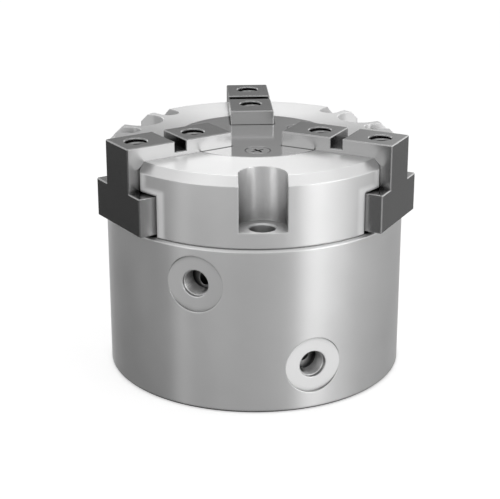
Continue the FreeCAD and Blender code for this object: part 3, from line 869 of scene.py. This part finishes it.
makeHousing()
makeGuide()
print("bodies made")
for side, angle in jawAngles.items():
    makeJaw(side, angle)
makeCover()
print("jaws and cover made")
makeCoverScrews()
makeFixingScrews()
makeThreads()
print("screws and threads made")


# Inner pieces
innerPieces = {
    "base_cover": "cover_alloy", "base_cover_seal": "seal_rubber", "retaining_ring": "spring_steel",
    "dowel_pins": "ground_steel", "rod_bush": "bush_bronze", "rod_seal": "seal_rubber",
    "piston": "cover_alloy", "piston_guide_ring": "guide_plastic", "piston_seal": "seal_rubber",
    "piston_rod": "ground_steel", "piston_rod_seal": "seal_rubber", "piston_screw": "screw_steel",
    "wedge_core": "jaw_steel",
}
for nodeName, slotName in innerPieces.items():
    body = frame["nodes"][nodeName]["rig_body"]
    settle(shade(copyNode(nodeName), sharp=28), nodeName + "_piece", body, slotName, [nodeName])
print("inner pieces made")


# Camera, from the fitted view of the photograph
camera = {
    "place": (-0.0291, -0.5148, 0.2285), "down": 19.918, "aside": -3.05, "lens": 104.1, "sensor": 36.0,
    "nearest": 0.05, "farthest": 20.0,
}


def makeCamera():
    data = bpy.data.cameras.new("camera")
    data.lens = camera["lens"]
    data.sensor_width = camera["sensor"]
    data.clip_start = camera["nearest"]
    data.clip_end = camera["farthest"]
    obj = bpy.data.objects.new("camera", data)
    obj.location = camera["place"]
    obj.rotation_euler = (math.radians(90 - camera["down"]), 0, math.radians(camera["aside"]))
    bpy.context.scene.collection.objects.link(obj)
    bpy.context.scene.camera = obj


# Floor, world and lamps, in metres
studio = {
    "floorSize": 8.0, "floorColour": 0.9, "floorGlow": 0.45, "ambient": 0.6, "tentRadius": 3.0,
    "aim": (0.0, 0.0, 0.05),
    "lamps": [
        {"name": "topLamp", "place": (0.0, 0.1, 1.3), "size": (1.1, 1.1), "power": 0.7},
        {"name": "rightLamp", "place": (0.95, -0.75, 0.55), "size": (0.7, 0.9), "power": 1.2},
        {"name": "leftLamp", "place": (-1.0, -0.7, 0.7), "size": (0.5, 0.8), "power": 0.6},
    ],
}


def seenDirectly(graph):
    # 1 for what the camera, a reflection or glass sees, and 0 for what lights the scene
    path = graph.node("ShaderNodeLightPath")
    camera, glossy, clear = (Wire(graph, path.outputs["Is " + kind + " Ray"])
                             for kind in ("Camera", "Glossy", "Transmission"))
    return camera.sum("MAXIMUM", glossy).sum("MAXIMUM", clear)


def makeFloor():
    half = studio["floorSize"] / mm / 2
    corners = [(-half, -half, 0), (half, -half, 0), (half, half, 0), (-half, half, 0)]
    floor = meshObject("floor", corners, [[0, 1, 2, 3]])
    material, graph = newMaterial("floor")
    matt = graph.add("ShaderNodeBsdfDiffuse", {}, {"Color": grey(studio["floorColour"])})
    strength = seenDirectly(graph) * studio["floorGlow"]
    glow = graph.add("ShaderNodeEmission", {}, {"Color": grey(1.0), "Strength": strength})
    both = graph.add("ShaderNodeAddShader", {}, [matt, glow])
    graph.node("ShaderNodeOutputMaterial", {}, {"Surface": both})
    floor.data.materials.append(material)
    floor.visible_glossy = False


def makeWorld():
    world = bpy.data.worlds.new("world")
    bpy.context.scene.world = world
    world.use_nodes = True
    graph = Graph(world.node_tree)
    world.node_tree.nodes.clear()
    seen = seenDirectly(graph)
    strength = seen + (1 - seen) * studio["ambient"]
    background = graph.add("ShaderNodeBackground", {}, {"Color": grey(1.0), "Strength": strength})
    graph.node("ShaderNodeOutputWorld", {}, {"Surface": background})


def makeLamps():
    for lamp in studio["lamps"]:
        data = bpy.data.lights.new(lamp["name"], "AREA")
        data.shape = "RECTANGLE"
        data.size, data.size_y = lamp["size"]
        data.energy = lamp["power"]
        obj = bpy.data.objects.new(lamp["name"], data)
        obj.location = lamp["place"]
        aim = Vector(studio["aim"]) - Vector(lamp["place"])
        obj.rotation_euler = aim.to_track_quat("-Z", "Y").to_euler()
        obj.visible_camera = False
        bpy.context.scene.collection.objects.link(obj)


# Light tent: what polished metal sees round it, painted by direction. Each band is a list of
# angles round the axis with their light, and each rise is the height of a direction of length 1.
tent = {
    "low": [
        (-180, 0.12), (-160, 0.12), (-154, 0.42), (-149, 0.42), (-143, 0.14), (-120, 0.28), (-90, 0.32),
        (-62, 0.34), (-54, 0.85), (-43, 0.85), (-33, 0.32), (0, 0.3), (30, 0.26), (60, 0.25), (80, 0.34),
        (86, 0.22), (105, 0.36), (120, 0.16), (150, 0.08), (180, 0.12),
    ],
    "high": [
        (-180, 1.1), (-158, 0.9), (-146, 1.3), (-120, 1.4), (-100, 1.0), (-75, 1.1), (-62, 1.2), (-50, 2.2),
        (-38, 2.9), (-28, 2.8), (-14, 1.9), (0, 1.6), (22, 1.55), (45, 2.1), (70, 1.1), (79, 0.5), (85, 0.2),
        (100, 0.2), (108, 0.6), (122, 2.6), (134, 1.25), (180, 1.1),
    ],
    "most": 4.0, "rise": (-0.22, 0.1), "top": 0.68, "topRise": (0.27, 0.6),
    "crown": 0.35, "crownRise": (0.85, 0.92), "hole": 0.65, "holeRise": (0.96, 0.99),
    "behind": {"angle": 90.0, "rise": 56.0, "power": 12.0, "light": 1.5},
}


def makeTent():
    bm = bmesh.new()
    bmesh.ops.create_uvsphere(bm, u_segments=64, v_segments=32, radius=studio["tentRadius"])
    bmesh.ops.reverse_faces(bm, faces=bm.faces)
    mesh = bpy.data.meshes.new("tent")
    bm.to_mesh(mesh)
    bm.free()
    obj = bpy.data.objects.new("tent", mesh)
    bpy.context.scene.collection.objects.link(obj)
    material, graph = newMaterial("tent")
    place = graph.add("ShaderNodeTexCoord", output=3)
    way = graph.add("ShaderNodeVectorMath", {"operation": "NORMALIZE"}, [place])
    turnRound = graph.add("ShaderNodeTexGradient", {"gradient_type": "RADIAL"}, [way], output=1)
    parts = graph.node("ShaderNodeSeparateXYZ", {}, [way])

    def band(name):
        stops = [((angle + 180) / 360, grey(light / tent["most"])) for angle, light in tent[name]]
        return graph.add("ShaderNodeValToRGB", {"stops": stops}, [turnRound]) * tent["most"]

    def climb(name):
        return ramp(graph, parts.outputs[2], *tent[name], "SMOOTHSTEP")

    # two bands of wall under a plain top, which has a brighter ring near its middle and a darker middle
    rise = climb("rise")
    topRise = climb("topRise")
    light = band("low") * (1 - rise) + band("high") * rise
    light = light * (1 - topRise) + topRise * tent["top"]
    light = light + climb("crownRise") * tent["crown"] - climb("holeRise") * tent["hole"]

    # a soft box high up behind the gripper
    box = tent["behind"]
    a = math.radians(box["angle"])
    e = math.radians(box["rise"])
    aim = (math.cos(a) * math.cos(e), math.sin(a) * math.cos(e), math.sin(e))
    dot = graph.add("ShaderNodeVectorMath", {"operation": "DOT_PRODUCT"}, [way, aim], output=1)
    light = light + dot.sum("MAXIMUM", 0.0) ** box["power"] * box["light"]
    glow = graph.add("ShaderNodeEmission", {}, {"Color": grey(1.0), "Strength": light})
    graph.node("ShaderNodeOutputMaterial", {}, {"Surface": glow})
    material.cycles.emission_sampling = "NONE"
    mesh.materials.append(material)
    obj.visible_camera = False
    obj.visible_diffuse = False
    obj.visible_shadow = False
    obj.visible_transmission = False


makeCamera()
makeFloor()
makeWorld()
makeLamps()
makeTent()
bpy.context.scene.view_settings.view_transform = "Standard"
print("studio made")
